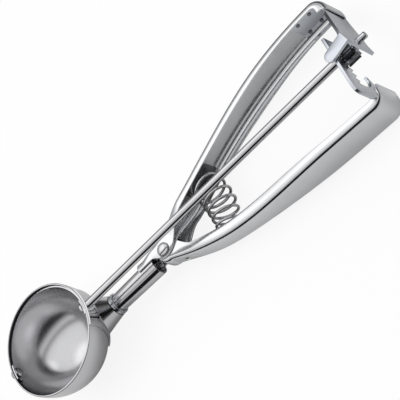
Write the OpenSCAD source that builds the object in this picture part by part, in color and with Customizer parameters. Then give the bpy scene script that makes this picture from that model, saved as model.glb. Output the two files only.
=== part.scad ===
// Lever ice cream scoop: round bowl with a rotating scraper, turned by squeezing two splayed handles.
// Frame: origin at the centre of the bowl's mouth, +X along the scraper spindle to the handle ends,
// +Z out of the bowl's mouth. The fixed handle lies on the +Y side, the moving one on the -Y side.

/* [Bowl] */
// Inner radius of the round bowl
bowl_ri = 24.9; // [22:0.1:28]
// Sheet thickness of the bowl
bowl_t = 0.7; // [0.5:0.1:1.2]
// Height of the rim above the spindle axis
rim_rise = 2.4; // [2.2:0.1:4]

/* [Scraper] */
// Running gap between the scraper and the bowl
blade_gap = 0.3; // [0.3:0.05:0.6]
// Sheet thickness of the scraper
blade_t = 0.6; // [0.5:0.1:1]
// Height of the scraper's upper edge above the spindle axis
blade_up = 1.1; // [0.6:0.1:1.8]
// Height of the scraper's round ends above the spindle axis
ear_up = 2.0; // [1.9:0.05:2.1]
// Depth of the scraper's lower edge below the spindle axis
blade_down = 6.0; // [4:0.1:9]
// Radius of the scraper's round ends about the spindle axis
blade_end_r = 4.2; // [3.5:0.1:5]

/* [Spindle] */
// Diameter of the long spindle rod
rod_d = 4.0; // [3.6:0.1:4.6]
// Diameter of the rod's turned-down journals
journal_d = 3.0; // [2.4:0.1:3.2]
// Radial running clearance of pins and journals
run_c = 0.05; // [0.02:0.01:0.08]
// Station of the arm bracket's outer face on the spindle axis
arm_x = 196.6; // [192:0.2:202]
// Length of the journal that stands out of the arm bracket
knob_len = 4.4; // [2:0.1:8]

/* [Rack and pinion] */
// Tooth size (module)
tooth_m = 1.0; // [0.9:0.05:1.1]
// Number of pinion teeth
pinion_teeth = 9; // [9:1:10]
// Length of the pinion
pinion_len = 6.4; // [4:0.1:7]
// Thickness of the rack sheet
rack_t = 1.4; // [1:0.1:1.8]
// Height of the rack's back above its pitch line
rack_back = 7.9; // [6:0.1:9]
// Number of rack teeth
rack_teeth = 7; // [6:1:7]
// Tooth thickness at the pitch line, in modules
tooth_w = 1.25; // [1.1:0.05:1.3]

/* [Handles] */
// Sheet thickness of both handles
sheet = 0.8; // [0.6:0.05:1]
// Height of the spindle axis above the handles' upper edges at their ends
spindle_up = 6.0; // [5.6:0.1:7]
// Distance of the pivot pin from the bowl's centre
pivot_x = 67.3; // [64:0.1:70]
// Diameter of the pivot pin
pivot_d = 3.0; // [2.5:0.1:3.5]
// Height of the fixed handle at its root
root_h = 11.4; // [11:0.1:13]
// Height of the fixed handle at the spring
mid_h = 16.6; // [16.2:0.1:18]
// Height of both handles at their ends
end_h = 19.0; // [17.5:0.1:20]
// Height of the moving handle at the spring
spring_h = 12.0; // [11.6:0.1:13]
// Depth of the handle flanges
flange = 5.4; // [4.8:0.1:5.8]
// Depth of the flanges at the handles' ends
end_flange = 4.2; // [3.4:0.1:4.4]
// Outer radius of the bend at each handle's end
end_bend = 6.4; // [5:0.1:7]
// Length of the fixed handle's lip past that bend
lip = 1.6; // [0.8:0.1:2.2]
// Length of the moving handle's lip past its bend
lip_m = 3.6; // [3:0.1:4]
// Set-back of the fixed handle's end from the arm's station
end_back = 6.0; // [5.6:0.1:6.6]
// Rounding between web and flanges
corner_r = 2.2; // [1.2:0.1:3]
// Rise of the fixed handle away from the spindle, per mm
fix_rise = 0.51; // [0.5:0.005:0.52]
// Straightening of the fixed handle towards its end, per mm
fix_turn = 0.69; // [0.68:0.005:0.7]
// Rise of the moving handle away from the spindle, per mm
mov_rise = 0.8; // [0.79:0.005:0.81]
// Straightening of the moving handle, per mm
mov_turn = 0.775; // [0.765:0.005:0.785]

/* [Stem] */
// Radius of the stem tube at the bowl
stem_r0 = 4.25; // [3.6:0.05:4.6]
// Wall thickness of the stem tube
stem_wall = 0.8; // [0.6:0.05:1.2]
// Station of the stem tube's open end
stem_x = 58.5; // [54:0.1:60]
// Thickness of the saddle sheet on the bowl
saddle_t = 0.9; // [0.7:0.05:1.4]
// Width of the saddle across the bowl
saddle_w = 20.4; // [17:0.1:24]
// Depth of the saddle below the rim
saddle_h = 23; // [21:0.1:24]

/* [Arm bracket] */
// Thickness of the arm bracket sheet
arm_t = 1.4; // [1:0.1:1.8]
// Width of the rack guide tab
tab_w = 5.4; // [4:0.1:6.5]
// Length of the rack guide tab from the spindle station of the arm
tab_len = 10.2; // [9:0.1:11]
// Gap between the rack's back and the guide tab
tab_gap = 0.4; // [0.3:0.05:0.8]

/* [Spring] */
// Wire diameter of the return spring
wire_d = 1.2; // [1:0.05:1.3]
// Coils of the return spring
coils = 7; // [6:1:8]
// Mean coil radius at the fixed handle
coil_r0 = 6.6; // [6:0.1:6.7]
// Mean coil radius at the moving handle
coil_r1 = 4.3; // [3.8:0.1:4.4]
// Distance of the spring's middle from the pivot
spring_rho = 32.5; // [31:0.1:34]

/* [Hidden] */
$fn = 64;
sz = -rim_rise;                      // spindle axis
handle_drop = end_h / 2 + spindle_up;
hz = sz - handle_drop;               // handle centre line
fit = 0.02;                          // clearance of joined pieces
bowl_ro = bowl_ri + bowl_t;
saddle_ro = bowl_ro + fit + saddle_t;
blade_ro = bowl_ri - blade_gap;
blade_ri = blade_ro - blade_t;
pitch_r = tooth_m * pinion_teeth / 2;
pitch = PI * tooth_m;
add = 0.9 * tooth_m;                 // tooth height above the pitch line
ded = 1.15 * tooth_m;                // tooth depth below it
pin_x1 = arm_x - arm_t - 1.8;        // pinion's outer end
pin_x0 = pin_x1 - pinion_len;
rack_x = pin_x0 + 1.0;               // rack sheet's inner face
rack_z = sz + pitch_r;               // pitch line of the rack
back_z = rack_z + rack_back;
stem_r1 = root_h / 2 - sheet - 0.1;  // stem tube at its open end
wall_y = root_h / 2 - 0.05;          // outer face of the handles at the root
mov_h0 = root_h - 2 * sheet - 0.3;   // moving handle nests inside the fixed one
ear_f = 3.5;
ear_m = 4.3;
root_e = 0.6;                        // free edges of its flanges at the root
root_x = pivot_x - 16.6;             // the fixed handle starts beside the stem tube

function ramp(u, w) = (u + sqrt(u * u + w * w)) / 2;
function sm(a, b, x) = let (t = max(0, min(1, (x - a) / (b - a)))) t * t * (3 - 2 * t);
// Outer faces of the two handle webs, as distances from the middle plane
function fix_y(x) = wall_y + fix_rise * (ramp(x - pivot_x + 2.3, 4.5) - ramp(2.3 - 7, 4.5))
    - fix_turn * (ramp(x - pivot_x - 85.2, 60) - ramp(-92.2, 60));
function mov_y(x) = wall_y + mov_rise * (ramp(x - pivot_x + 2, 4) - ramp(2, 4))
    - mov_turn * (ramp(x - pivot_x - 15.6, 28) - ramp(-15.6, 28));
// Heights of the two handles
function fix_h(x) = root_h + (mid_h - root_h) * sm(pivot_x + 3.6, pivot_x + 19, x)
    + (end_h - mid_h) * sm(pivot_x + 38, pivot_x + 85, x);
function mov_h(x) = mov_h0 + (spring_h - mov_h0) * sm(pivot_x + 4, pivot_x + 24, x)
    + (end_h - spring_h) * sm(pivot_x + 32, pivot_x + 92, x);
// Depth of the flanges
function deep(x) = flange - (flange - end_flange) * sm(pivot_x + 60, pivot_x + 110, x);

// Channel outline: outer face at y, inner face at yi, free edges at e, height h, corner radius c
function arc(cy, cz, r, a0, a1, n) = [for (i = [0:n]) let (a = a0 + (a1 - a0) * i / n)
    [cy + r * cos(a), cz + r * sin(a)]];
function channel(y, yi, e, h, c = corner_r) = let (r = min(c, (y - e) * 0.95, h / 2.1),
        q = max(0.15, min(r - sheet, (yi - e) * 0.95)), hi = h / 2 - sheet) concat(
    [[e, h / 2]], arc(y - r, h / 2 - r, r, 90, 0, 4), arc(y - r, r - h / 2, r, 0, -90, 4),
    [[e, -h / 2]], [[e, -hi]], arc(yi - q, q - hi, q, -90, 0, 4),
    arc(yi - q, hi - q, q, 0, 90, 4), [[e, hi]]);
// Solid through channel rings, its ends closed by triangles across the sheet
module loft(rings) {
    n = len(rings[0]); m = len(rings); z = (m - 1) * n;
    polyhedron([for (r = rings) each r], concat(
        [for (i = [0:n / 2 - 2]) each [[i, i + 1, n - 2 - i], [i, n - 2 - i, n - 1 - i]]],
        [for (j = [0:m - 2], i = [0:n - 1]) let (a = j * n + i, b = j * n + (i + 1) % n)
            each [[a, a + n, b], [b, a + n, b + n]]],
        [for (i = [0:n / 2 - 2]) each [[z + i, z + n - 2 - i, z + i + 1],
            [z + i, z + n - 1 - i, z + n - 2 - i]]]), convexity = 6);
}
// Rings of a handle's end: the channel round the bend from (x, y), then along the lip
function end_rings(x, y, h, l) = let (s = channel(end_bend, end_bend - sheet, end_bend - end_flange, h))
    concat([for (a = [13:12.8:90]) [for (p = s)
        [x + p[0] * sin(a), y - end_bend + p[0] * cos(a), p[1]]]],
        [[for (p = s) [x + p[0], y - end_bend - l, p[1]]]]);

// Half outline of a bowl: quarter circle below the spindle's level, upright collar above it
module bowl_half(r, top) {
    intersection() { circle(r, $fn = 160); translate([0, -r]) square([r, r]); }
    square([r, top]);
}
module bowl_profile(r0, r1, top) {
    difference() { bowl_half(r1, top); bowl_half(r0, top + 1); }
}
module bowl() {
    color("lightgray") difference() {
        translate([0, 0, sz]) rotate_extrude($fn = 160)
            bowl_profile(bowl_ri, bowl_ro, rim_rise);
        translate([bowl_ri - 3, 0, sz]) rotate([0, 90, 0])
            cylinder(d = journal_d + 2 * run_c, h = 6);
        translate([-bowl_ri - 3, 0, sz]) rotate([0, 90, 0])
            cylinder(d = journal_d - 0.4 + 2 * run_c, h = 6);
    }
}

// Cone that the stem tube fills, from the bowl's side to its open end
module stem_cone(c) {
    translate([18, 0, hz]) rotate([0, 90, 0])
        cylinder(r1 = stem_r0 + c, r2 = stem_r1 + c, h = stem_x - 18);
}
module bowl_saddle() {
    color("silver") difference() {
        union() {
            intersection() {
                translate([0, 0, sz]) rotate_extrude($fn = 160)
                    bowl_profile(bowl_ro + fit, saddle_ro, rim_rise - 0.2);
                translate([8, -saddle_w / 2, -saddle_h]) cube([30, saddle_w, saddle_h]);
            }
            difference() {
                hull() {
                    translate([bowl_ro + 2.2, 0, hz]) rotate([0, 90, 0])
                        cylinder(r = stem_r0 + 1.2, h = 1.6, $fn = 40);
                    translate([bowl_ro - 8.6, 0, hz + 3]) rotate([0, 90, 0])
                        cylinder(r = stem_r0 + 3, h = 2, $fn = 40);
                    translate([bowl_ro - 4.6, -3, sz - 9]) cube([4.4, 6, 1]);
                }
                translate([0, 0, sz]) sphere(bowl_ro + fit, $fn = 160);
            }
        }
        stem_cone(fit);
        translate([bowl_ri, 0, sz]) rotate([0, 90, 0]) cylinder(d = rod_d + 2 * run_c, h = 6);
    }
}
module stem_collar() {
    color("gray") difference() {
        translate([bowl_ro + 3.8 + fit, 0, hz]) rotate([0, 90, 0])
            cylinder(r = stem_r0 + 1.0, h = 2.0);
        stem_cone(fit);
    }
}
module stem_tube() {
    color("silver") difference() {
        stem_cone(0);
        translate([17, 0, hz]) rotate([0, 90, 0])
            cylinder(r1 = stem_r0 - stem_wall, r2 = stem_r1 - stem_wall, h = stem_x - 16);
        translate([0, 0, sz]) sphere(saddle_ro + fit, $fn = 160);
    }
}

// Free edges of the fixed handle's flanges: beside the stem, an ear at the pivot, an arch,
// then a plain flange
function fix_e(x) = x < pivot_x ? root_e - (ear_f + root_e) * sm(pivot_x - 8, pivot_x - 1, x)
    : -ear_f + (fix_y(x) - deep(x) + ear_f) * sm(pivot_x, pivot_x + 14, x);
// Its corners are round about the stem tube, and tighten before the pivot
function fix_c(x) = root_h / 2 - (root_h / 2 - corner_r) * sm(root_x, pivot_x - 5.5, x);
fix_end = arm_x - end_back - end_bend; // start of the fixed handle's end bend
fix_xs = concat([for (i = [0:9]) root_x + (pivot_x - 8 - root_x) * i / 9],
    [for (x = [pivot_x - 6:1.5:pivot_x + 13.6]) x], [for (i = [1:16]) pivot_x + 15
        + (fix_end - pivot_x - 15) * i / 16]);
module fixed_handle() {
    color("gainsboro") difference() {
        translate([0, 0, hz]) loft(concat([for (x = fix_xs) [for (p = channel(fix_y(x),
            fix_y(x) - sheet, fix_e(x), fix_h(x), fix_c(x))) [x, p[0], p[1]]]],
            end_rings(fix_end, fix_y(fix_end), end_h, lip)));
        translate([pivot_x, 0, hz - root_h]) cylinder(d = pivot_d + 2 * fit, h = 2 * root_h);
    }
}
// Seat plate that carries the spring's first coil on the fixed web
module spring_seat() {
    x0 = pivot_x + spring_rho * 0.9 - 8; x1 = x0 + 15; hs = mid_h / 2 - corner_r - 0.2;
    color("darkgray") translate([0, 0, hz - hs]) linear_extrude(2 * hs)
        polygon(concat([for (i = [0:10]) let (x = x0 + (x1 - x0) * i / 10)
            [x, fix_y(x) - sheet - fit]], [for (i = [10:-1:0]) let (x = x0 + (x1 - x0) * i / 10)
            [x, fix_y(x) - sheet - fit - 0.6]]));
}

// Arm bracket: a leg on the fixed web, a leaning plate up to the spindle, and the rack guide tab
end_r = end_bend - sheet - fit;      // inside of the fixed handle's end bend
end_c = fix_y(fix_end) - end_bend;   // its centre's distance from the middle plane
arm_lean = atan((end_back + sheet + 0.3) / (end_c - lip));
// The plate runs outwards until it meets the inside of the bend
arm_b = end_c * cos(arm_lean) + (arm_x - fix_end) * sin(arm_lean);
arm_s = arm_b + sqrt(max(0.01, arm_b * arm_b - pow(arm_x - fix_end, 2) - end_c * end_c
    + end_r * end_r)) - 0.4;
arm_l = (end_c - lip - 0.4) / cos(arm_lean);
arm_in = end_h / 2 - sheet - 0.15;
leg_x0 = arm_x - 25;
leg_t = 1.2;
leg_a = atan2(arm_s * cos(arm_lean) - end_c, arm_x - arm_s * sin(arm_lean) - fix_end) - 6;
tab_s = -0.9;                        // guide tab's inner edge along the plate
module arm_plate_2d() {
    // s along the plate towards the fixed handle, v upwards from the spindle
    t = back_z + tab_gap + arm_t - sz;
    polygon([[arm_s, -handle_drop - arm_in + 1.6], [arm_s, -handle_drop + arm_in - 1.6],
        [arm_s - 1.8, -handle_drop + arm_in], [arm_l, -handle_drop + arm_in], [3, t - 3.4],
        [tab_s + 1.2, t - 1.0], [tab_s, t], [tab_s - tab_w, t], [tab_s - tab_w, 4.5],
        [tab_s - tab_w - 0.2, 1], [-7, -1.6], [-7.3, -3.4], [-6.4, -4.6], [-4.6, -5], [-1, -6.4],
        [arm_l, -handle_drop - arm_in], [arm_s - 1.8, -handle_drop - arm_in]]);
}
// Outline of the leg, following the web and the bend at distance t from the sheet's inner face
function leg_line(t) = concat([for (i = [0:5]) let (x = leg_x0 + (fix_end - leg_x0) * i / 5)
    [x, fix_y(x) - sheet - fit - t]], [for (i = [1:6]) let (a = 90 + (leg_a - 90) * i / 6)
    [fix_end + (end_r - t) * cos(a), end_c + (end_r - t) * sin(a)]]);
module arm_bracket() {
    color("lightsteelblue") difference() {
        union() {
            translate([arm_x, 0, sz]) rotate([0, 0, arm_lean]) {
                rotate([90, 0, -90]) linear_extrude(arm_t) mirror([1, 0]) arm_plate_2d();
                translate([0, tab_s, back_z + tab_gap - sz]) mirror([1, 1, 0]) linear_extrude(arm_t)
                    union() {
                        square([tab_w, tab_len - tab_w / 2 + 2]);
                        translate([tab_w / 2, tab_len - tab_w / 2 + 2])
                            circle(d = tab_w, $fn = 48);
                    }
            }
            translate([0, 0, hz - arm_in + 1.9]) linear_extrude(2 * arm_in - 3.8)
                polygon(concat(leg_line(0), [for (i = [11:-1:0]) leg_line(leg_t)[i]]));
        }
        translate([arm_x - 6, 0, sz]) rotate([0, 90, 0])
            cylinder(d = journal_d + 2 * run_c, h = 12);
    }
}
module arm_welds() {
    color("dimgray") for (x = [leg_x0 + 3, leg_x0 + 10], v = [-0.54, 0.54])
        translate([x, fix_y(x) - sheet - leg_t - 0.1, hz + v * arm_in]) rotate([90, 0, 0])
            cylinder(d = 1.8, h = 0.3, $fn = 24);
}

module pivot_pin() {
    top = root_h / 2 + 0.5 + fit;
    color("white") translate([pivot_x, 0, hz]) {
        translate([0, 0, -root_h / 2 - 0.9]) cylinder(d = pivot_d, h = root_h + 1.8);
        translate([0, 0, top + fit]) rotate_extrude() intersection() {
            translate([0, -1.9]) circle(3.1); square([3, 2]);
        }
        translate([0, 0, -root_h / 2 - fit]) mirror([0, 0, 1]) rotate_extrude()
            intersection() { translate([0, -1.9]) circle(3.1); square([3, 2]); }
    }
}
module pivot_washer() {
    color("gray") translate([pivot_x, 0, hz + root_h / 2 + fit / 2]) difference() {
        cylinder(r = 3.2, h = 0.5);
        translate([0, 0, -1]) cylinder(d = pivot_d + 2 * fit, h = 3);
    }
}

// Moving handle: same channel, rounded about the pivot at its root
mov_end = rack_x + rack_t + fit + sheet - end_bend; // start of its end bend
function mov_o(x) = x < pivot_x ? sqrt(max(0.04, wall_y * wall_y - pow(x - pivot_x, 2))) : mov_y(x);
function mov_i(x) = x < pivot_x ? sqrt(max(0.01, pow(wall_y - sheet, 2) - pow(x - pivot_x, 2)))
    : mov_y(x) - sheet;
function mov_e(x) = x < pivot_x ? sqrt(max(0.02, ear_m * ear_m - pow(x - pivot_x, 2)))
    : ear_m - (ear_m + mov_y(x) - deep(x)) * sm(pivot_x, pivot_x + 13, x);
mov_xs = concat([for (a = [82:-9:10]) pivot_x - (ear_m - 0.05) * sin(a)],
    [for (x = [0:1:13]) pivot_x + x], [for (i = [1:20]) pivot_x + 13
        + (mov_end - pivot_x - 13) * i / 20]);
module moving_handle() {
    color("gainsboro") difference() {
        translate([0, 0, hz]) mirror([0, 1, 0]) loft(concat([for (x = mov_xs)
            [for (p = channel(mov_o(x), mov_i(x), -mov_e(x), mov_h(x))) [x, p[0], p[1]]]],
            end_rings(mov_end, mov_y(mov_end), end_h, lip_m)));
        translate([pivot_x, 0, hz - root_h]) cylinder(d = pivot_d + 2 * run_c, h = 2 * root_h);
        // notch in the upper corner, where the rack sheet rises
        translate([rack_x - 0.5, rack_o - 0.3, hz + end_h / 2 - 4 * sheet])
            cube([end_bend, 2 * end_bend, 8 * sheet]);
    }
}
module root_rivet() {
    x = pivot_x + 5.5;
    color("white") translate([x, -mov_y(x), hz - 0.5])
        rotate([90, 0, -atan((mov_y(x + 1) - mov_y(x - 1)) / 2)]) translate([0, 0, 0.06]) rotate_extrude()
        intersection() { translate([0, -1.2]) circle(1.9, $fn = 48); square([2, 2]); }
}

// Rack: toothed sheet square to the spindle, its tongue welded inside the moving handle's end
function tooth_y(k) = (0.5 - k) * pitch;
rack_y1 = tooth_y(0) + 2.7;
rack_in = end_h / 2 - sheet - 0.2;
mov_c = mov_y(mov_end) - end_bend;   // centre of the moving handle's bend
rack_o = -mov_c;                     // outer edge of the rack's tongue, where the lip is flat
rack_w = -mov_y(mov_end) - 0.6;      // outer edge of the rack's broad end
travel = 4 * pitch + 0.6;
neck = travel + pitch_r + add + 0.5; // inner edge of its neck, clear of the pinion
module rack() {
    ht = tooth_w * tooth_m / 2; tn = tan(20); top = hz + end_h / 2 + 0.35;
    color("lightsteelblue") translate([rack_x, 0, 0]) rotate([90, 0, 90]) linear_extrude(rack_t)
        polygon(concat([[rack_y1, rack_z + ded], [rack_y1, back_z], [rack_w + 3, back_z],
            [rack_w + 1, back_z - 0.9], [rack_w, back_z - 3], [rack_w + 0.3, sz],
            [rack_w + 1.4, sz - 3], [rack_w + 3.4, top], [rack_o, top], [rack_o, hz - rack_in + 1.6],
            [-mov_c + lip_m - 0.4, hz - rack_in + 1.6], [-mov_c + lip_m - 0.4, top - 3]],
            [for (a = [292:-16:180]) [-travel + (neck - travel) * cos(a),
                sz + (neck - travel) * sin(a)]],
            [[-neck, rack_z + ded - 1], [-neck + 0.5, rack_z + ded]],
            [for (k = [rack_teeth - 1:-1:0]) each [
                [tooth_y(k) - ht - ded * tn, rack_z + ded], [tooth_y(k) - ht + add * tn, rack_z - add],
                [tooth_y(k) + ht - add * tn, rack_z - add], [tooth_y(k) + ht + ded * tn, rack_z + ded]
            ]]));
}
module rack_welds() {
    color("dimgray") for (v = [-5, 0, 5])
        translate([rack_x - fit, -mov_c + lip_m / 2, hz + v]) rotate([0, -90, 0])
            cylinder(d = 1.8, h = 0.3, $fn = 24);
}

// Return spring: tapering coils whose axis bends round the pivot from one web to the other
spr_f = asin((fix_y(pivot_x + spring_rho * 0.87) - sheet - 0.6) / spring_rho) - 3.4;
spr_m = -asin((mov_y(pivot_x + (spring_rho + coil_r1) * 0.9) - sheet - wire_d - 0.4)
    / (spring_rho + coil_r1));
spr_n = coils * 8;
function spr_c(f) = [pivot_x + spring_rho * cos(f), spring_rho * sin(f), hz];
function spr_r(u) = coil_r0 + (coil_r1 - coil_r0) * u + 1.4 * sin(180 * u);
function spr_dir(f, t) = [cos(t) * cos(f), cos(t) * sin(f), sin(t)];
function spr_pt(u) = let (f = spr_f + (spr_m - spr_f) * u) spr_c(f)
    + spr_r(u) * spr_dir(f, 360 * coils * u + 90);
function unit(v) = v / norm(v);
function spr_tan(u) = unit(spr_pt(u + 0.0005) - spr_pt(u - 0.0005));
function ring6(p, t, n) = let (b = unit(cross(t, n)), m = cross(b, t))
    [for (i = [0:5]) p + wire_d / 2 * (cos(60 * i) * m + sin(60 * i) * b)];
function spr_ax(f) = [sin(f), -cos(f), 0];
// rings: straight end, short turn, coils, short turn, straight end
function spr_end(u, s, l) = let (f = spr_f + (spr_m - spr_f) * u) spr_pt(u) + s * l * spr_ax(f);
function spr_turn(u, s) = unit(spr_tan(u) + spr_ax(spr_f + (spr_m - spr_f) * u));
spr_mid = [for (i = [0:spr_n]) let (u = i / spr_n, f = spr_f + (spr_m - spr_f) * u)
    [spr_pt(u), i == 0 || i == spr_n ? spr_turn(u, 1) : spr_tan(u), spr_dir(f, 360 * coils * u + 90)]];
spr_path = concat(
    [for (l = [1.7, 0.6]) [spr_end(0, -1, l), spr_ax(spr_f), spr_dir(spr_f, 90)]],
    spr_mid, [for (l = [0.6, 1.7]) [spr_end(1, 1, l), spr_ax(spr_m), spr_dir(spr_m, 90)]]);
spr_gap = min([for (i = [0:len(spr_path) - 1], j = [i + 5:1:len(spr_path) - 1])
    norm(spr_path[i][0] - spr_path[j][0]) - wire_d]);
echo(spring_least_gap_to_itself = spr_gap);
module return_spring() {
    color("silver") loft_tri([for (q = spr_path) ring6(q[0], q[1], q[2])]);
}
// Tube of six sides with triangle faces throughout
module loft_tri(rings) {
    n = len(rings[0]); m = len(rings);
    polyhedron([for (r = rings) each r], concat([for (i = [1:n - 2]) [0, i, i + 1]],
        [for (j = [0:m - 2], i = [0:n - 1]) let (a = j * n + i, b = j * n + (i + 1) % n)
            each [[a, a + n, b], [b, a + n, b + n]]],
        [for (i = [1:n - 2]) [(m - 1) * n, (m - 1) * n + i + 1, (m - 1) * n + i]]), convexity = 10);
}

module along_x(x, d, l) { translate([x, 0, sz]) rotate([0, 90, 0]) cylinder(d = d, h = l); }
module spindle_rod() {
    color("white") {
        along_x(blade_ri - 1.6, journal_d, bowl_ro - blade_ri + 2);
        along_x(bowl_ro + 0.1, rod_d, pin_x1 - bowl_ro - 0.1);
        along_x(pin_x1 - 0.5, journal_d, arm_x - pin_x1 + 0.5 + knob_len - 0.4);
        translate([arm_x + knob_len - 0.4, 0, sz]) rotate([0, 90, 0])
            cylinder(d1 = journal_d, d2 = journal_d - 0.8, h = 0.4);
    }
}
module pinion() {
    ht = tooth_w * tooth_m / 2;
    function pp(r, w, a) = [r * cos(a + w), r * sin(a + w)];
    color("dimgray") translate([pin_x0, 0, sz]) rotate([90, 0, 90]) linear_extrude(pinion_len)
        difference() {
            polygon([for (k = [0:pinion_teeth - 1]) let (a = 90 + 360 * k / pinion_teeth,
                w = 180 / PI) each [
                pp(pitch_r - ded, -ht * 1.18 / (pitch_r - ded) * w, a),
                pp(pitch_r - 0.35 * tooth_m, -ht * 1.1 / (pitch_r - 0.35 * tooth_m) * w, a),
                pp(pitch_r + 0.3 * tooth_m, -ht * 0.76 / (pitch_r + 0.3 * tooth_m) * w, a),
                pp(pitch_r + add, -ht * 0.32 / (pitch_r + add) * w, a),
                pp(pitch_r + add, ht * 0.32 / (pitch_r + add) * w, a),
                pp(pitch_r + 0.3 * tooth_m, ht * 0.76 / (pitch_r + 0.3 * tooth_m) * w, a),
                pp(pitch_r - 0.35 * tooth_m, ht * 1.1 / (pitch_r - 0.35 * tooth_m) * w, a),
                pp(pitch_r - ded, ht * 1.18 / (pitch_r - ded) * w, a)]]);
            circle(d = rod_d + 2 * fit);
        }
}
module pinion_collar() {
    color("gray") difference() {
        along_x(pin_x1 + fit, 6, 0.7);
        along_x(pin_x1 - 1, journal_d + 2 * fit, 3);
    }
}
module blade() {
    color("silver") difference() {
        translate([0, 0, sz]) intersection() {
            difference() { sphere(blade_ro, $fn = 160); sphere(blade_ri, $fn = 160); }
            union() {
                translate([-30, 0, -blade_down]) cube([60, 30, blade_down + blade_up]);
                translate([-30, 0, 0]) rotate([0, 90, 0]) cylinder(r = blade_end_r, h = 60);
            }
        }
        along_x(10, journal_d + 2 * fit, 30);
        along_x(-30, journal_d - 0.4 + 2 * fit, 15);
        // the round ends are cut back below the rim
        translate([-30, -30, sz + ear_up]) cube([60, 60, 10]);
    }
}
module blade_hub() {
    color("gray") difference() {
        along_x(blade_ri - 1.25, journal_d + 2.6, 1.0);
        along_x(blade_ri - 3, journal_d + 2 * fit, 5);
    }
}
module blade_pin() {
    d = journal_d - 0.4;
    color("white") {
        along_x(-bowl_ro - 0.4, d, bowl_ro - blade_ri + 1.4);
        along_x(-bowl_ro - 1.2, d + 1.8, 1.0);
        along_x(-blade_ri + 0.35, d + 1.8, 0.8);
    }
}

bowl();
bowl_saddle();
stem_collar();
stem_tube();
fixed_handle();
spring_seat();
arm_bracket();
arm_welds();
pivot_pin();
pivot_washer();
moving_handle();
root_rivet();
rack();
rack_welds();
return_spring();
spindle_rod();
pinion();
pinion_collar();
blade();
blade_hub();
blade_pin();
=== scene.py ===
import bpy, bmesh, math
from mathutils import Matrix, Vector


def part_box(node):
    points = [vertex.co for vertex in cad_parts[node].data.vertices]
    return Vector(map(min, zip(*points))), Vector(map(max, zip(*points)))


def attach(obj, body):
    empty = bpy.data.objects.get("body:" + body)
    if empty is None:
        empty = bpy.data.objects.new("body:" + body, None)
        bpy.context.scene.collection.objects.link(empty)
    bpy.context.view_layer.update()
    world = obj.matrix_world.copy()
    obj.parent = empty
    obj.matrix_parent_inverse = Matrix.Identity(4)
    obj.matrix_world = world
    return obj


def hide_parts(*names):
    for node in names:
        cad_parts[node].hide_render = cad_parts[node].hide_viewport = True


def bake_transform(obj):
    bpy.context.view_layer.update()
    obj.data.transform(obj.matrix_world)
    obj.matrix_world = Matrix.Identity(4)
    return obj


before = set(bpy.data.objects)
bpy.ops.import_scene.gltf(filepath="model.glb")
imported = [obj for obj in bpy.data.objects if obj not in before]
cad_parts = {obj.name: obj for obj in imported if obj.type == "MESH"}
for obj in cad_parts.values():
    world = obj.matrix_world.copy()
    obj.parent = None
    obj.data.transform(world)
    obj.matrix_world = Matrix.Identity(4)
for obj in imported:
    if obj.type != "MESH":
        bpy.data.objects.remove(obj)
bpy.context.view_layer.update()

# ---------------------------------------------------------------------------------- studio
# The scoop lies on a white table with its bowl open upwards and is seen from above the handle
# ends. The camera's place and turn come from the bowl's rim, the rod and the handles.
scene = bpy.context.scene
scene.view_settings.view_transform = "Standard"
right = Vector((0.66007, -0.40178, -0.63473))
down = Vector((-0.64216, -0.74022, -0.19925))
ahead = Vector((-0.38979, 0.53912, -0.74661))
camera = bpy.data.objects.new("camera", bpy.data.cameras.new("camera"))
scene.collection.objects.link(camera)
camera.data.sensor_width = 36
camera.data.lens = 144
camera.data.clip_start = 0.01
camera.matrix_world = Matrix.Translation((0.3632, -0.3660, 0.5021)) @ Matrix(
    (right, -down, -ahead)).transposed().to_4x4()
scene.camera = camera


def add_node(tree, kind, links=None, **values):
    # one node, its plain sockets set by name or number, its linked ones joined
    node = tree.nodes.new(kind)
    for key, value in values.items():
        setattr(node, key, value)
    for key, value in (links or {}).items():
        socket = node.inputs[key]
        if isinstance(value, bpy.types.NodeSocket):
            tree.links.new(value, socket)
        else:
            socket.default_value = value
    return node


table_z = -0.0280  # the bowl's foot and the handles' lower edges stand on it
bpy.ops.object.select_all(action="DESELECT")
bpy.ops.mesh.primitive_plane_add(size=6, location=(0, 0, table_z))
table = bpy.context.object
table.name = "table"
table.data.materials.append(bpy.data.materials.new("white_table"))
table.active_material.use_nodes = True
tree = table.active_material.node_tree
tree.nodes.clear()
path = add_node(tree, "ShaderNodeLightPath")
# 1 for what is seen in metal or through glass
gloss = add_node(tree, "ShaderNodeMath", {0: path.outputs["Is Glossy Ray"],
    1: path.outputs["Is Transmission Ray"]}, operation="MAXIMUM")
on_table = add_node(tree, "ShaderNodeTexCoord")


def painted_table_shade(stretch, middle, near, far, tones):
    # a painted shade over the table that changes smoothly with the stretched distance from a middle
    spot = add_node(tree, "ShaderNodeVectorMath", {0: on_table.outputs["Object"], 1: stretch},
        operation="MULTIPLY")
    spot = add_node(tree, "ShaderNodeVectorMath", {0: spot.outputs[0], 1: middle}, operation="DISTANCE")
    return add_node(tree, "ShaderNodeMapRange", {"Value": spot.outputs["Value"], "From Min": near,
        "From Max": far, "To Min": tones[0], "To Max": tones[1]}, interpolation_type="SMOOTHSTEP")
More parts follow.
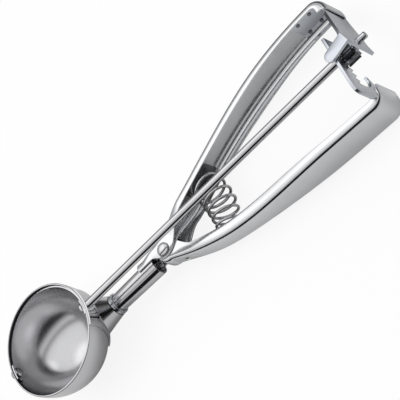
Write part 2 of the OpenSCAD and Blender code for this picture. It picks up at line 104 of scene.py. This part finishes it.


# In the steel the table is painted darker with distance, a painted falloff of light as on a lit sheet
# of paper in a dark room, and painted near black under the narrow gap between the handles, beside the
# pivot, as painted shade.
painted_light_falloff = painted_table_shade((0.45, 1, 1), (0.03, -0.015, 0), 0.05, 0.135, (0.66, 0.03))
painted_gap_shade = painted_table_shade((0.6, 1, 1), (0.0495, 0.004, 0), 0.009, 0.017, (0.08, 1.0))
far = add_node(tree, "ShaderNodeMath", {0: painted_light_falloff.outputs[0], 1: painted_gap_shade.outputs[0]}, operation="MULTIPLY")
tone = add_node(tree, "ShaderNodeMix", {0: gloss.outputs[0], 2: 0.82, 3: far.outputs[0]})
paper = add_node(tree, "ShaderNodeBsdfDiffuse", {"Color": tone.outputs[0]})
lit = add_node(tree, "ShaderNodeEmission", {"Color": (1, 1, 1, 1), "Strength": 1.0})
share = add_node(tree, "ShaderNodeMath", {0: gloss.outputs[0], 1: 0.05}, operation="MULTIPLY")
share = add_node(tree, "ShaderNodeMath", {0: path.outputs["Is Camera Ray"], 1: 0.88,
    2: share.outputs[0]}, operation="MULTIPLY_ADD")
both = add_node(tree, "ShaderNodeMixShader", {0: share.outputs[0], 1: paper.outputs[0],
    2: lit.outputs[0]})
add_node(tree, "ShaderNodeOutputMaterial", {"Surface": both.outputs[0]})

# The room that polished steel shows: a white ceiling, a light band low on the walls with a grey
# one over it, a black floor, and all of it lower down on the camera's side.
world = bpy.data.worlds.new("studio")
scene.world = world
world.use_nodes = True
tree = world.node_tree
tree.nodes.clear()
path = add_node(tree, "ShaderNodeLightPath")
way = add_node(tree, "ShaderNodeTexCoord")
part = add_node(tree, "ShaderNodeSeparateXYZ", {0: way.outputs["Generated"]})
front = add_node(tree, "ShaderNodeMath", {0: part.outputs["Y"], 1: 0.0}, operation="MINIMUM")
front = add_node(tree, "ShaderNodeMath", {0: front.outputs[0], 1: 0.60, 2: part.outputs["Z"]},
    operation="MULTIPLY_ADD")
height = add_node(tree, "ShaderNodeValToRGB", {0: front.outputs[0]})
height.color_ramp.interpolation = "EASE"
height.color_ramp.elements[0].color = (0.01, 0.01, 0.0101, 1)
for level, shade in ((0.28, 0.80), (0.42, 0.32), (0.56, 0.90), (0.72, 1.0)):
    height.color_ramp.elements.new(level).color = (shade, shade, shade * 1.01, 1)
# two brighter fields: the big softbox behind and above, and a small one past the handle ends
glow = 1.0
for toward, start_at, full_at, gain in (((-0.248, 0.533, 0.809), 0.90, 0.985, 0.45),
        ((0.821, 0.383, 0.423), 0.93, 0.99, 0.5)):
    near = add_node(tree, "ShaderNodeVectorMath", {0: way.outputs["Generated"], 1: toward},
        operation="DOT_PRODUCT")
    near = add_node(tree, "ShaderNodeMapRange", {"Value": near.outputs["Value"], "From Min": start_at,
        "From Max": full_at, "To Min": 0.0, "To Max": gain}, interpolation_type="SMOOTHSTEP")
    glow = add_node(tree, "ShaderNodeMath", {0: near.outputs[0], 1: glow}, operation="ADD").outputs[0]
room = add_node(tree, "ShaderNodeBackground", {"Color": height.outputs[0], "Strength": glow})
white = add_node(tree, "ShaderNodeBackground", {"Color": (1, 1, 1, 1), "Strength": 1.0})
both = add_node(tree, "ShaderNodeMixShader", {0: path.outputs["Is Camera Ray"],
    1: room.outputs[0], 2: white.outputs[0]})
add_node(tree, "ShaderNodeOutputWorld", {"Surface": both.outputs[0]})


def softbox(name, place, target, size, watts):
    lamp = bpy.data.lights.new(name, "AREA")
    lamp.shape = "RECTANGLE"
    lamp.size, lamp.size_y = size
    lamp.energy = watts
    box = bpy.data.objects.new(name, lamp)
    scene.collection.objects.link(box)
    box.visible_glossy = False
    box.location = place
    box.rotation_euler = (Vector(target) - Vector(place)).to_track_quat("-Z", "Y").to_euler()


softbox("key", (-0.35, 0.15, 0.95), (0.07, 0, -0.02), (0.7, 0.5), 4)
softbox("side", (0.75, 0.75, 0.55), (0.12, 0, -0.02), (0.5, 0.5), 1)

# -------------------------------------------------------------------------------- steel finish
# Stainless sheet, ground and then polished on a wheel: near a mirror, with hairlines along the
# polishing and faint cloudy patches where the wheel pressed less.
finish = bpy.data.node_groups.new("polished_steel", "ShaderNodeTree")
for side, kind, label in (("INPUT", "NodeSocketVector", "Vector"),
        ("INPUT", "NodeSocketFloat", "Hairlines"), ("INPUT", "NodeSocketColor", "Steel"),
        ("INPUT", "NodeSocketFloat", "Gloss low"), ("INPUT", "NodeSocketFloat", "Gloss high"),
        ("OUTPUT", "NodeSocketColor", "Color"), ("OUTPUT", "NodeSocketFloat", "Roughness"),
        ("OUTPUT", "NodeSocketVector", "Normal")):
    finish.interface.new_socket(name=label, in_out=side, socket_type=kind)
tree = finish
given = add_node(tree, "NodeGroupInput")
hairs = add_node(tree, "ShaderNodeTexNoise", {"Vector": given.outputs["Vector"], "Scale": 1.0,
    "Detail": 4.0, "Roughness": 0.65})
clouds = add_node(tree, "ShaderNodeTexCoord")
clouds = add_node(tree, "ShaderNodeTexNoise", {"Vector": clouds.outputs["Object"], "Scale": 70.0,
    "Detail": 3.0, "Roughness": 0.5})
mixed = add_node(tree, "ShaderNodeMath", {0: hairs.outputs["Fac"], 1: clouds.outputs["Fac"]},
    operation="ADD")
tone = add_node(tree, "ShaderNodeMapRange", {"Value": mixed.outputs[0], "From Min": 0.7,
    "From Max": 1.3, "To Min": 0.94, "To Max": 1.04})
tint = add_node(tree, "ShaderNodeVectorMath", {0: given.outputs["Steel"], "Scale": tone.outputs[0]},
    operation="SCALE")
gloss = add_node(tree, "ShaderNodeMapRange", {"Value": mixed.outputs[0], "From Min": 0.65,
    "From Max": 1.35, "To Min": given.outputs["Gloss low"], "To Max": given.outputs["Gloss high"]})
lines = add_node(tree, "ShaderNodeBump", {"Strength": given.outputs["Hairlines"],
    "Distance": 0.00003, "Height": hairs.outputs["Fac"]})
add_node(tree, "NodeGroupOutput", {"Color": tint.outputs[0], "Roughness": gloss.outputs[0],
    "Normal": lines.outputs[0]})


def steel(name, shade, rough, grain, hairlines):
    # shade: the steel's colour; rough: its least and most roughness; grain: hairs per metre along
    # x, y and z, so that the polishing runs where it is lowest; hairlines: how deep they show
    made = bpy.data.materials.new(name)
    made.use_nodes = True
    tree = made.node_tree
    shader = tree.nodes["Principled BSDF"]
    shader.inputs["Metallic"].default_value = 1.0
    place = add_node(tree, "ShaderNodeTexCoord")
    stretch = add_node(tree, "ShaderNodeMapping", {"Vector": place.outputs["Object"], "Scale": grain})
    worked = add_node(tree, "ShaderNodeGroup", node_tree=finish)
    tree.links.new(stretch.outputs[0], worked.inputs["Vector"])
    worked.inputs["Hairlines"].default_value = hairlines
    worked.inputs["Steel"].default_value = (*shade, 1)
    worked.inputs["Gloss low"].default_value, worked.inputs["Gloss high"].default_value = rough
    tree.links.new(worked.outputs["Color"], shader.inputs["Base Color"])
    tree.links.new(worked.outputs["Roughness"], shader.inputs["Roughness"])
    tree.links.new(worked.outputs["Normal"], shader.inputs["Normal"])
    return made


# ---------------------------------------------------------------------------------------- bowl
# A deep round bowl pressed from 0.7 mm stainless sheet, with a short upright collar and a
# dressed rim. The spindle passes through its wall, level with the collar's foot.
spindle_z = -0.0024  # the rim is at height 0
bowl_r = 0.0256
bowl_sheet = 0.0007
rod_hole_r, pin_hole_r = 0.00155, 0.00135
bowl_steel = steel("bowl_steel", (0.62, 0.62, 0.63), (0.15, 0.21), (500, 500, 3000), 0.1)


def start(name):
    # the primitive that was just added, under its piece's name and with its place in its mesh
    made = bpy.context.object
    made.name = made.data.name = name
    bpy.ops.object.transform_apply(location=True, rotation=True, scale=True)
    return made


def pick(piece, kind, test):
    # selects the vertices, edges or faces whose middle passes the test, in edit mode
    if bpy.context.mode == "OBJECT":
        bpy.ops.object.select_all(action="DESELECT")
        piece.select_set(True)
        bpy.context.view_layer.objects.active = piece
        bpy.ops.object.mode_set(mode="EDIT")
    bpy.ops.mesh.select_mode(type=kind)
    bpy.ops.mesh.select_all(action="DESELECT")
    form = bmesh.from_edit_mesh(piece.data)
    for item in {"VERT": form.verts, "EDGE": form.edges, "FACE": form.faces}[kind]:
        middle = item.co if kind == "VERT" else \
            sum((v.co for v in item.verts), Vector()) / len(item.verts)
        if test(item, middle):
            item.select_set(True)
    form.select_flush_mode()
    bmesh.update_edit_mesh(piece.data)


def finish_piece(piece, material, angle=35, **modifiers):
    # leaves edit mode, applies the named modifiers in order, shades, and gives the material
    if bpy.context.object and bpy.context.object.mode == "EDIT":
        bpy.ops.object.mode_set(mode="OBJECT")
    bpy.ops.object.select_all(action="DESELECT")
    piece.select_set(True)
    bpy.context.view_layer.objects.active = piece
    for kind, values in modifiers.items():
        made = piece.modifiers.new(kind, kind)
        for key, value in values.items():
            setattr(made, key, value)
        bpy.ops.object.modifier_apply(modifier=made.name)
    bpy.ops.object.shade_smooth_by_angle(angle=math.radians(angle))
    piece.data.materials.clear()
    piece.data.materials.append(material)


def cut_by(piece, cutter, operation="DIFFERENCE"):
    # cuts the cutter away from the piece, or joins it, or keeps what both share, and removes it
    bpy.ops.object.mode_set(mode="OBJECT")
    bpy.ops.object.select_all(action="DESELECT")
    piece.select_set(True)
    bpy.context.view_layer.objects.active = piece
    made = piece.modifiers.new("cut", "BOOLEAN")
    made.object, made.operation, made.solver = cutter, operation, "EXACT"
    bpy.ops.object.modifier_apply(modifier=made.name)
    bpy.data.objects.remove(cutter)


def bar_along_x(radius, x0, x1, sides=48):
    # a plain round bar on the spindle's line, to cut with
    bpy.ops.object.select_all(action="DESELECT")
    bpy.ops.mesh.primitive_cylinder_add(vertices=sides, radius=radius, depth=x1 - x0,
        location=((x0 + x1) / 2, 0, spindle_z), rotation=(0, math.pi / 2, 0))
    return start("bar")


bpy.ops.object.select_all(action="DESELECT")
bpy.ops.mesh.primitive_uv_sphere_add(segments=160, ring_count=80, radius=bowl_r,
    location=(0, 0, spindle_z))
bowl = start("bowl_shell")
pick(bowl, "VERT", lambda v, c: c.z > spindle_z + 1e-5)
bpy.ops.mesh.delete(type="VERT")
pick(bowl, "EDGE", lambda e, c: c.z > spindle_z - 1e-5)
bpy.ops.mesh.extrude_region_move(TRANSFORM_OT_translate={"value": (0, 0, -spindle_z)})
finish_piece(bowl, bowl_steel, SOLIDIFY={"thickness": bowl_sheet, "offset": -1})
cut_by(bowl, bar_along_x(rod_hole_r, 0.02, 0.03))
cut_by(bowl, bar_along_x(pin_hole_r, -0.03, -0.02))
# the rim is ground off outwards, and the collar's inside above the scraper is painted near black as
# painted shade of the narrow gap over the scraper
pick(bowl, "EDGE", lambda e, c: all(v.co.z > -1e-5 and v.co.to_2d().length > bowl_r - 2e-4
    for v in e.verts))
bpy.ops.mesh.bevel(offset=0.00042, segments=3, affect="EDGES")
collar_gap_shade_steel = steel("collar_inside_painted_shade", (0.07, 0.07, 0.075), (0.3, 0.4), (500, 500, 3000), 0.2)
finish_piece(bowl, bowl_steel, BEVEL={"width": 0.0001, "segments": 2, "limit_method": "ANGLE",
    "angle_limit": math.radians(50)})
bowl.data.materials.append(collar_gap_shade_steel)
pick(bowl, "FACE", lambda f, c: c.z > spindle_z + 1e-4 and c.to_2d().length < bowl_r - 6e-4
    and abs(f.normal.z) < 0.5)
bowl.active_material_index = 1
bpy.ops.object.material_slot_assign()
bpy.ops.object.mode_set(mode="OBJECT")
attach(bowl, "frame")
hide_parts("bowl")

# -------------------------------------------------------------------------------------- saddle
# The sheet that joins bowl and stem: a strip pressed round the bowl, spot welded to it, whose
# middle is drawn out into a funnel that takes the stem tube.
saddle_r = 0.02652
saddle_half, saddle_top, saddle_low = 0.0102, 0.0022, -0.023
# the funnel: half its width and height where it leaves the strip, how far that lies above the
# stem's line, the place and radius of its neck, and how hard it leaves the one and meets the other
foot_half, foot_up = Vector((0, 0.0086, 0.0084)), 0.0024
neck_x, neck_r = 0.0292, 0.0053
leave, meet = 0.009, 0.006
stem_z = -0.0179
saddle_steel = steel("saddle_steel", (0.56, 0.56, 0.57), (0.06, 0.12), (500, 500, 3000), 0.15)
bpy.ops.object.select_all(action="DESELECT")
bpy.ops.mesh.primitive_uv_sphere_add(segments=160, ring_count=80, radius=saddle_r,
    location=(0, 0, spindle_z))
saddle = start("saddle_strip")
pick(saddle, "VERT", lambda v, c: c.z > spindle_z + 1e-5)
bpy.ops.mesh.delete(type="VERT")
pick(saddle, "EDGE", lambda e, c: c.z > spindle_z - 1e-5)
bpy.ops.mesh.extrude_region_move(TRANSFORM_OT_translate={"value": (0, 0, saddle_top)})
for place, way in (((0.008, 0, 0), (-1, 0, 0)), ((0, saddle_half, 0), (0, 1, 0)),
        ((0, -saddle_half, 0), (0, -1, 0)), ((0, 0, saddle_low), (0, 0, -1))):
    pick(saddle, "FACE", lambda f, c: True)
    bpy.ops.mesh.bisect(plane_co=place, plane_no=way, clear_outer=True)
# its wall is shaded first, so that its edges stay crisp when they are broken
finish_piece(saddle, saddle_steel, SOLIDIFY={"thickness": 0.0009, "offset": -1})
finish_piece(saddle, saddle_steel, BEVEL={"width": 0.00025, "segments": 3, "limit_method": "ANGLE",
    "angle_limit": math.radians(50)})
# the funnel, a tube whose loops are opened out until they lie on the strip
bpy.ops.object.select_all(action="DESELECT")
bpy.ops.mesh.primitive_cylinder_add(vertices=64, radius=1, depth=1, end_fill_type="NOTHING")
funnel = start("saddle_funnel")
pick(funnel, "FACE", lambda f, c: True)
bpy.ops.mesh.subdivide_edgering(number_cuts=13)
bpy.ops.object.mode_set(mode="OBJECT")
for v in funnel.data.vertices:
    t, turn = v.co.z + 0.5, math.atan2(v.co.y, v.co.x)
    foot = Vector((0, foot_half.y * math.cos(turn), foot_half.z * math.sin(turn) + foot_up))
    foot.x = math.sqrt(max(1e-8, saddle_r ** 2 - foot.y ** 2 - (foot.z + stem_z - spindle_z) ** 2))
    outward = Vector((0, math.cos(turn), math.sin(turn)))
    normal = Vector((foot.x, foot.y, foot.z + stem_z - spindle_z)).normalized()
    slide = (outward - normal * outward.dot(normal)).normalized()
    neck = Vector((neck_x, neck_r * math.cos(turn), neck_r * math.sin(turn)))
    # a smooth run from the strip's own slope into the stem's direction
    h = (2 * t ** 3 - 3 * t * t + 1, t ** 3 - 2 * t * t + t, 3 * t * t - 2 * t ** 3, t ** 3 - t * t)
    v.co = foot * h[0] - slide * h[1] * leave + neck * h[2] + Vector((meet, 0, 0)) * h[3]
    v.co.z += stem_z
pick(funnel, "FACE", lambda f, c: True)
bpy.ops.mesh.normals_make_consistent(inside=False)
finish_piece(funnel, saddle_steel, SOLIDIFY={"thickness": 0.0006, "offset": -1})
for piece in (saddle, funnel):
    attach(piece, "frame")
    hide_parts("bowl_saddle")

# ---------------------------------------------------------------------------------------- stem
# A drawn steel tube that widens towards the handles and stays open there; a turned ring hides
# the joint between the funnel and the tube.
tube_steel = steel("tube_steel", (0.56, 0.56, 0.57), (0.08, 0.16), (300, 3000, 3000), 0.2)
ring_steel = steel("ring_steel", (0.45, 0.46, 0.48), (0.12, 0.22), (6000, 500, 500), 0.25)
bpy.ops.object.select_all(action="DESELECT")
bpy.ops.mesh.primitive_cone_add(vertices=96, radius1=0.00425, radius2=0.0048, depth=0.0375,
    end_fill_type="NOTHING", location=(0.03975, 0, stem_z), rotation=(0, math.pi / 2, 0))
tube = start("stem_tube_open")
finish_piece(tube, tube_steel, SOLIDIFY={"thickness": 0.0008, "offset": -1},
    BEVEL={"width": 0.00015, "segments": 2, "limit_method": "ANGLE", "angle_limit": math.radians(50)})
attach(tube, "frame")
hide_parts("stem_tube")


def turned(name, outline, material, at, upright=False, angle=35):
    # a piece turned on a lathe: its half outline (distance along the axis, radius) in mm is spun
    form = bpy.data.meshes.new(name)
    piece = bpy.data.objects.new(name, form)
    scene.collection.objects.link(piece)
    form.from_pydata([(a * 0.001, 0, r * 0.001) for a, r in outline], [(i, i + 1)
        for i in range(len(outline) - 1)], [])
    pick(piece, "EDGE", lambda e, c: True)
    bpy.ops.mesh.spin(steps=64, angle=2 * math.pi, center=(0, 0, 0), axis=(1, 0, 0))
    bpy.ops.mesh.select_all(action="SELECT")
    bpy.ops.mesh.remove_doubles(threshold=1e-6)
    bpy.ops.mesh.normals_make_consistent(inside=False)
    bpy.ops.object.mode_set(mode="OBJECT")
    if upright:
        form.transform(Matrix.Rotation(-math.pi / 2, 4, "Y"))
    form.transform(Matrix.Translation(at))
    finish_piece(piece, material, angle)
    return piece


ring = turned("stem_ring", [(29.3, 4.4), (29.3, 5.0), (29.5, 5.25), (29.9, 5.3), (30.2, 5.05),
    (30.4, 5.0), (30.7, 5.05), (31.0, 5.3), (31.3, 5.2), (31.45, 4.95), (31.45, 4.5)], ring_steel,
    at=(0, 0, stem_z))
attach(ring, "frame")
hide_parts("stem_collar")

# ------------------------------------------------------------------------------- fixed handle
# A long channel of 0.8 mm stainless sheet. Its root hugs the stem tube, its ears take the pivot
# pin, and its end is bent round square to carry the arm bracket.
pivot_x = 67.3  # the handles' lengths are in mm until their meshes are laid
web_y = 5.65
handle_sheet = 0.8
flange, end_flange, end_bend = 5.4, 4.2, 6.4
fixed_root, fixed_end = 50.7, 184.2
root_edge, fixed_ear = 0.6, 3.5  # the flanges end beside the stem, and this far past the pin
handle_steel = steel("handle_steel", (0.74, 0.745, 0.755), (0.10, 0.19), (120, 2600, 2600), 0.3)


def ramp(u, w):
    # nothing before 0 and u after it, with a rounded corner about w wide
    return (u + math.sqrt(u * u + w * w)) / 2


def ease(a, b, x):
    # a smooth step from 0 at a to 1 at b
    t = max(0.0, min(1.0, (x - a) / (b - a)))
    return t * t * (3 - 2 * t)


def fixed_web(x):
    # the web's outer face: along the stem, turned outwards at the pivot and slowly back in
    return web_y + 0.51 * (ramp(x - pivot_x + 2.3, 4.5) - ramp(-4.7, 4.5)) \
        - 0.69 * (ramp(x - pivot_x - 85.2, 60) - ramp(-92.2, 60))


def fixed_height(x):
    # low at the stem, higher past the pivot and once more along the grip
    return 11.4 + 5.2 * ease(pivot_x + 3.6, pivot_x + 19, x) + 2.4 * ease(pivot_x + 38, pivot_x + 85, x)


def flange_depth(x):
    # how far the flanges reach in from the web, less towards the end
    return flange - (flange - end_flange) * ease(pivot_x + 60, pivot_x + 110, x)


def fixed_edge(x):
    # the flanges' free edges: they pass the pin at the ears and then follow the web
    if x < pivot_x:
        return root_edge - (root_edge + fixed_ear) * ease(pivot_x - 8, pivot_x - 1, x)
    return -fixed_ear + (fixed_web(x) - flange_depth(x) + fixed_ear) * ease(pivot_x, pivot_x + 14, x)


def end_turn(x, y, half, lip, fold):
    # stations round the bend at a handle's end and along the lip past it
    found, inner = [], end_bend - end_flange
    for a in range(8, 91, 7):
        s, c = math.sin(math.radians(a)), math.cos(math.radians(a))
        found.append((x + end_bend * s, y - end_bend + end_bend * c, x + inner * s,
            y - end_bend + inner * c, half, fold))
    for step in (0.5, 1.0):
        down = y - end_bend - lip * step
        found.append((x + end_bend, down, x + inner, down, half, fold))
    return found


def folded_channel(name, line, material, mirror=1):
    # a flat strip whose long rows are laid round the two folds at each station (web's outer face,
    # flange's free edge, half height, fold radius), thickened inwards to the sheet
    n, bend = len(line), 8
    bpy.ops.object.select_all(action="DESELECT")
    bpy.ops.mesh.primitive_grid_add(x_subdivisions=n - 1, y_subdivisions=2 * bend + 3, size=1)
    piece = start(name)
    for v in piece.data.vertices:
        i, row = round((v.co.x + 0.5) * (n - 1)), round((v.co.y + 0.5) * (2 * bend + 3))
        ox, oy, ex, ey, half, fold = line[i]
        upper = row > bend + 1
        row = min(row, 2 * bend + 3 - row)
        deep = math.hypot(ex - ox, ey - oy)
        fold = min(fold, deep * 0.95, half * 0.95)
        turn = math.pi / 2 * (row - 1) / bend
        inward, high = (deep, half) if row == 0 else (fold - fold * math.sin(turn),
            half - fold + fold * math.cos(turn))
        x, y = ox + (ex - ox) * inward / deep, oy + (ey - oy) * inward / deep
        v.co = (x * 0.001, mirror * y * 0.001, stem_z + (high if upper else -high) * 0.001)
    pick(piece, "FACE", lambda f, c: True)
    bpy.ops.mesh.normals_make_consistent(inside=False)
    form = bmesh.from_edit_mesh(piece.data)
    web = min(form.faces, key=lambda f: (f.calc_center_median() - Vector((line[n // 2][0] * 0.001,
        mirror * line[n // 2][1] * 0.001, stem_z))).length)
    if web.normal.y * mirror < 0:
        bpy.ops.mesh.flip_normals()
    finish_piece(piece, material, 40, SOLIDIFY={"thickness": handle_sheet * 0.001, "offset": -1},
        BEVEL={"width": 0.00016, "segments": 2, "limit_method": "ANGLE",
            "angle_limit": math.radians(60)})
    return piece


def fixed_fold(x):
    # round where the root hugs the stem, tighter at the ears and wider again along the grip
    return 5.7 - 3.5 * ease(fixed_root, pivot_x - 5.5, x) + 1.5 * ease(pivot_x + 4, pivot_x + 30, x)


root = [fixed_root + 0.6 * i for i in range(58)]
grip = [85.6 + (fixed_end - 85.6) * i / 50 for i in range(51)]
line = [(x, fixed_web(x), x, fixed_edge(x), fixed_height(x) / 2, fixed_fold(x)) for x in root + grip]
line += end_turn(fixed_end, fixed_web(fixed_end), half=9.5, lip=1.6, fold=3.7)
fixed = folded_channel("fixed_handle_sheet", line, handle_steel)
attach(fixed, "frame")
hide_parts("fixed_handle")

# ------------------------------------------------------------------------------ moving handle
# The same channel of 0.8 mm stainless sheet on the other side, nested between the fixed handle's
# ears and free to swing on the pin. Its upper corner is notched at the end, where the rack rises.
ear_r = 4.3


def moving_web(x):
    return web_y + 0.8 * (ramp(x - pivot_x + 2, 4) - ramp(2, 4)) \
        - 0.775 * (ramp(x - pivot_x - 15.6, 28) - ramp(-15.6, 28))


def moving_height(x):
    return 9.5 + 2.5 * ease(pivot_x + 4, pivot_x + 24, x) + 7.0 * ease(pivot_x + 32, pivot_x + 92, x)


def moving_station(x):
    # round about the pin at the root, then along the grip like the fixed handle
    if x < pivot_x:
        out = math.sqrt(max(0.04, web_y ** 2 - (x - pivot_x) ** 2))
        edge = -math.sqrt(max(0.02, ear_r ** 2 - (x - pivot_x) ** 2))
    else:
        out = moving_web(x)
        edge = -ear_r + (ear_r + out - flange_depth(x)) * ease(pivot_x, pivot_x + 13, x)
    return (x, out, x, edge, moving_height(x) / 2, 2.2 + 0.4 * ease(pivot_x, pivot_x + 20, x))


moving_end = 183.82
ears = [pivot_x - (ear_r - 0.02) * math.sin(math.radians(a)) for a in range(84, 5, -6)]
root = [pivot_x + 0.8 * i for i in range(25)]
grip = [87.3 + (moving_end - 87.3) * i / 50 for i in range(51)]
line = [moving_station(x) for x in ears + root + grip]
line += end_turn(moving_end, moving_web(moving_end), half=9.5, lip=3.6, fold=2.6)
moving = folded_channel("moving_handle_sheet", line, handle_steel, mirror=-1)


def block(place, size):
    # a plain block to cut with
    bpy.ops.object.select_all(action="DESELECT")
    bpy.ops.mesh.primitive_cube_add(size=1, location=place, scale=size)
    return start("block")


rack_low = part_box("rack")[0]
notch = block((rack_low.x + 0.0055, -0.0092, stem_z + 0.0105), (0.012, 0.016, 0.0078))
cut_by(moving, notch)
finish_piece(moving, handle_steel, 40)
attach(moving, "lever")
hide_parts("moving_handle")

# --------------------------------------------------------- stamped pieces: bracket, rack, gear
# The arm bracket and the rack are stamped from 1.4 mm stainless sheet, and the pinion is cut from
# bar. They keep the working model's fitted outline, with the broken edges that tumbling leaves.
bracket_steel = steel("bracket_steel", (0.55, 0.575, 0.615), (0.12, 0.22), (2500, 300, 2500), 0.3)
# its near black colour is painted shade: the pinion in the shadow between arm and rack, the washer and
# the spring seat in their dark rings; the welds take it too
gear_steel = steel("gear_steel", (0.22, 0.225, 0.235), (0.22, 0.36), (300, 2500, 2500), 0.4)
rod_steel = steel("rod_steel", (0.62, 0.62, 0.63), (0.06, 0.13), (9000, 400, 400), 0.25)


def dressed(node, name, body, material, width):
    # a copy of a fitted solid, its triangles merged into clean faces and its edges broken
    piece = bpy.data.objects.new(name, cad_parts[node].data.copy())
    piece.data.name = name
    scene.collection.objects.link(piece)
    pick(piece, "VERT", lambda v, c: True)
    bpy.ops.mesh.remove_doubles(threshold=2e-6)
    bpy.ops.mesh.dissolve_limited(angle_limit=math.radians(1.0))
    bpy.ops.object.mode_set(mode="OBJECT")
    finish_piece(piece, material, 30, BEVEL={"width": width, "segments": 2, "limit_method": "ANGLE",
        "angle_limit": math.radians(28), "use_clamp_overlap": True})
    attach(piece, body)
    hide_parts(node)


dressed("arm_bracket", "arm_bracket_sheet", "frame", bracket_steel, 0.00022)
dressed("rack", "rack_sheet", "lever", bracket_steel, 0.00012)
dressed("pinion", "pinion_cut", "spindle", gear_steel, 0.0001)
dressed("pivot_washer", "pivot_washer_dressed", "frame", gear_steel, 0.0001)
dressed("pinion_collar", "pinion_collar_dressed", "spindle", bracket_steel, 0.0001)
# the welds, the root's rivet and the seat keep their own solids and only get their material; the welds
# and the seat the near black one of painted shade
for node, material in (("arm_welds", gear_steel), ("rack_welds", gear_steel),
        ("root_rivet", handle_steel), ("spring_seat", gear_steel)):
    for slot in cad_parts[node].material_slots:
        slot.material = material

# ------------------------------------------------------------------------------------- spindle
# A bright drawn stainless rod from the bowl to the arm, turned down at both ends where it runs in
# its bearings, with its outer end left standing proud of the arm.
rod = turned("spindle_rod_turned", [(22.4, 0), (22.4, 1.3), (22.6, 1.5), (25.7, 1.5), (25.75, 1.8),
    (25.95, 2.0), (60, 2.0), (110, 2.0), (160, 2.0), (192.9, 2.0), (193.3, 1.5), (200.6, 1.5),
    (200.9, 1.25), (201.0, 0.9), (201.0, 0)], rod_steel, at=(0, 0, spindle_z))
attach(rod, "spindle")
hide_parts("spindle_rod")

# ------------------------------------------------------------------------------------- scraper
# A thin stainless band that sweeps the inside of the bowl. Its two round ends turn on the spindle
# and on a short riveted pin at the far side.
scraper_r, scraper_sheet, scraper_width, scraper_end_r = 0.0246, 0.0006, 0.0071, 0.0042
bpy.ops.object.select_all(action="DESELECT")
bpy.ops.mesh.primitive_uv_sphere_add(segments=160, ring_count=80, radius=scraper_r,
    location=(0, 0, spindle_z))
blade = start("scraper_band")
finish_piece(blade, bowl_steel, SOLIDIFY={"thickness": scraper_sheet, "offset": -1})
# the band's outline seen from the side: a long block with round ends, level along its top
outline = block((0, 0.015, spindle_z - 0.00245), (0.06, 0.03, scraper_width))
cut_by(outline, bar_along_x(scraper_end_r, -0.03, 0.03, 96), "UNION")
cut_by(outline, block((0, 0, spindle_z + 0.007), (0.07, 0.07, 0.01)))
cut_by(blade, outline, "INTERSECT")
finish_piece(blade, bowl_steel, 40)
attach(blade, "spindle")
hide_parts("blade")
hub = turned("scraper_hub", [(22.76, 1.4), (22.76, 2.5), (22.9, 2.75), (23.4, 2.8), (23.72, 2.7),
    (23.72, 1.4)], rod_steel, at=(0, 0, spindle_z))
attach(hub, "spindle")
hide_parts("blade_hub")
far_pin = turned("scraper_far_pin", [(-26.75, 0), (-26.75, 1.5), (-26.6, 1.95), (-26.2, 2.2),
    (-25.85, 2.15), (-25.8, 1.3), (-23.65, 1.3), (-23.6, 2.1), (-23.2, 2.2), (-22.95, 1.9),
    (-22.85, 1.2), (-22.85, 0)], rod_steel, at=(0, 0, spindle_z))
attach(far_pin, "spindle")
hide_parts("blade_pin")

# ----------------------------------------------------------------------------------- pivot pin
# The pin that joins the two handles: bright steel, its ends riveted over to low domed heads. A
# plain washer lies under the upper head.
pin = turned("pivot_pin_riveted", [(-6.85, 0), (-6.8, 1.0), (-6.5, 2.0), (-6.1, 2.7), (-5.75, 2.95),
    (-5.73, 1.5), (5.75, 1.5), (6.22, 1.5), (6.24, 2.95), (6.5, 3.0), (6.8, 2.75), (7.1, 2.2),
    (7.3, 1.3), (7.38, 0)], rod_steel, upright=True, at=(pivot_x * 0.001, 0, stem_z), angle=45)
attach(pin, "frame")
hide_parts("pivot_pin")

# --------------------------------------------------------------------------------- spring wire
# A barrel shaped compression spring of bright steel wire, its axis bent round the pivot, with its
# two ends set against the handles' webs. Nothing else holds it.
spring_steel = steel("spring_steel", (0.55, 0.55, 0.56), (0.04, 0.10), (2500, 2500, 2500), 0.1)
wire_r = 0.65  # in mm, 0.05 over the working model's wire, which looks thin in the picture
# in mm: the coils' distance from the pivot, and their radius at the fixed and the moving handle
rho, coils, reach0, reach1 = 32.5, 7, 6.6, 4.3
# the directions from the pivot, in degrees, in which the wire's two ends lie
turn0 = math.degrees(math.asin((fixed_web(pivot_x + rho * 0.87) - 1.4) / rho)) - 3.4
turn1 = -math.degrees(math.asin((moving_web(pivot_x + (rho + reach1) * 0.9) - 2.4) / (rho + reach1)))


def wire_point(u):
    # u runs from 0 at the fixed handle to 1 at the moving one
    f = math.radians(turn0 + (turn1 - turn0) * u)
    reach = reach0 + (reach1 - reach0) * u + 1.4 * math.sin(math.pi * u)
    t = math.radians(360 * coils * u + 90)
    out = Vector((math.cos(f), math.sin(f), 0))
    return Vector((pivot_x, 0, stem_z * 1000)) + out * (rho + reach * math.cos(t)) \
        + Vector((0, 0, reach * math.sin(t)))


def wire_end(u, length):
    # a place on the short straight run past the first or the last coil
    f = math.radians(turn0 + (turn1 - turn0) * u)
    return wire_point(u) + Vector((math.sin(f), -math.cos(f), 0)) * length


steps = 48 * coils
points = [wire_end(0, -1.7), wire_end(0, -0.8)] + [wire_point(i / steps) for i in range(steps + 1)] \
    + [wire_end(1, 0.9), wire_end(1, 1.7)]
form = bpy.data.curves.new("wire", "CURVE")
form.dimensions = "3D"
run = form.splines.new("POLY")
run.points.add(len(points) - 1)
for made, place in zip(run.points, points):
    made.co = (*(place * 0.001), 1)
form.bevel_depth, form.bevel_resolution, form.use_fill_caps = wire_r * 0.001, 6, True
spring = bpy.data.objects.new("spring_wire", form)
scene.collection.objects.link(spring)
bpy.ops.object.select_all(action="DESELECT")
spring.select_set(True)
bpy.context.view_layer.objects.active = spring
bpy.ops.object.convert(target="MESH")
spring = bpy.context.object
spring.name = spring.data.name = "return_spring_wire"
finish_piece(spring, spring_steel, 50)
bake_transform(spring)
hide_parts("return_spring")
